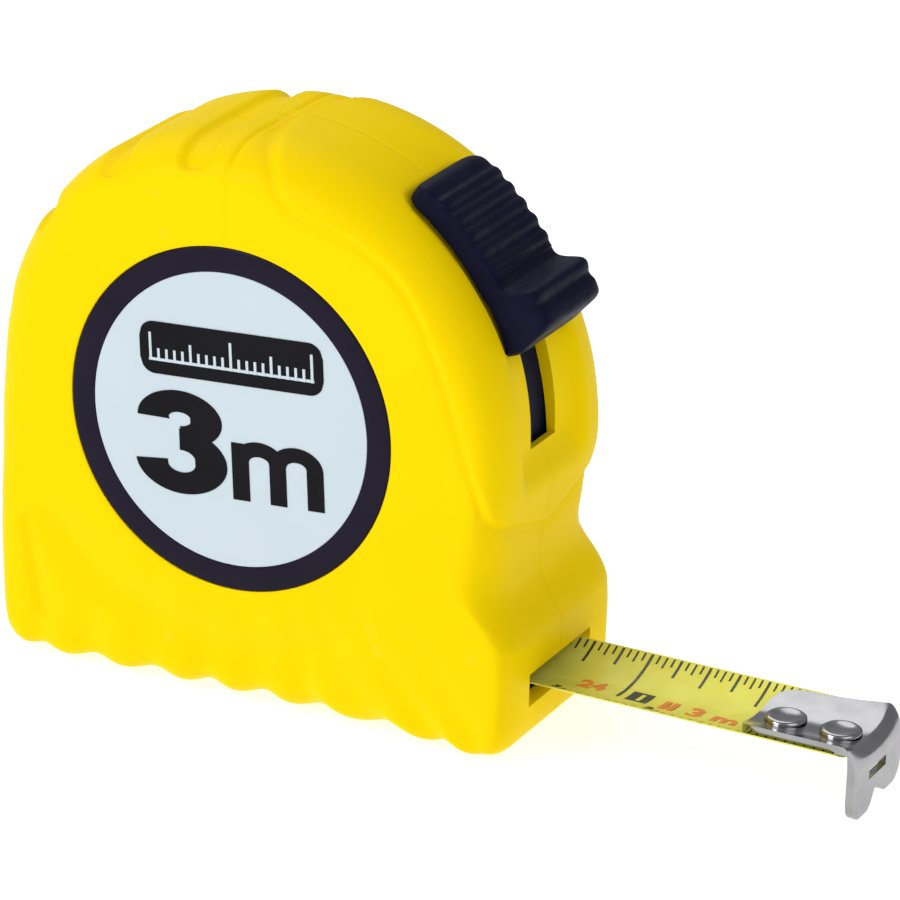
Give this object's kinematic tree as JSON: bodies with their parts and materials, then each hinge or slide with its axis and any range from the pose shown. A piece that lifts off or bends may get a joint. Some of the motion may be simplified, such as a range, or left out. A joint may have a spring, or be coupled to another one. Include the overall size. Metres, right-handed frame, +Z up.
{
  "type": "tape measure",
  "caption": "Pocket tape measure with a rounded yellow case, ribbed thumb lock, belt clip and a dished steel blade ending in a sliding hook.",
  "frame": {"origin": "on the base plane, directly below the reel axis, in the parting plane of the case", "axes": "+X forward along the blade, towards the hook; +Z up; the label faces -Y and the belt clip +Y"},
  "size_m": [0.0926, 0.0298, 0.0579],
  "materials": {
    "case_yellow": "fine moulded satin gloss",
    "label_print": "printed film, satin",
    "lock_black": "moulded, slightly glossy",
    "blade_paint": "lacquered yellow paint with printed scales",
    "hook_nickel": "bright nickel plate",
    "bright_steel": "zinc plated",
    "spring_steel": "blued strip",
    "inner_plastic": "natural acetal",
    "pad_rubber": "matt"
  },
  "bodies": {
    "case": {"case_left": "case_yellow", "case_right": "case_yellow", "front_label": "label_print", "case_screws": "bright_steel", "blade_guide": "inner_plastic", "arbor_post": "bright_steel", "drum_washers": "inner_plastic", "belt_clip": "hook_nickel", "clip_screw": "bright_steel", "blade_lead": "blade_paint"},
    "reel": {"reel_drum": "inner_plastic", "drum_cover": "inner_plastic", "power_spring": "spring_steel", "blade_coil": "blade_paint", "blade_anchor": "bright_steel"},
    "blade": {"blade_strip": "blade_paint", "hook_rivets": "hook_nickel"},
    "hook": {"end_hook": "hook_nickel"},
    "lock": {"thumb_lock": "lock_black", "lock_arm": "lock_black", "brake_pad": "pad_rubber"}
  },
  "joints": [
    {"name": "reel_spin", "type": "hinge", "parent": "case", "child": "reel", "pos_m": [0, 0, 0.0304], "axis": [0, -1, 0], "range_deg": [-83.5, 48], "deforming": ["power_spring"]},
    {"name": "blade_pull", "type": "slide", "parent": "case", "child": "blade", "axis": [1, 0, 0], "range_m": [-0.0325, 0.0187], "deforming": ["blade_lead"]},
    {"name": "hook_slide", "type": "slide", "parent": "blade", "child": "hook", "axis": [1, 0, 0], "range_m": [-0.0008, 0]},
    {"name": "lock_slide", "type": "hinge", "parent": "case", "child": "lock", "pos_m": [0, 0, 0.0304], "axis": [0, 1, 0], "range_deg": [0, 18]}
  ],
  "couplings": [
    {"joint": "blade_pull", "follows": "reel_spin", "m_per_rad": 0.0222}
  ]
}
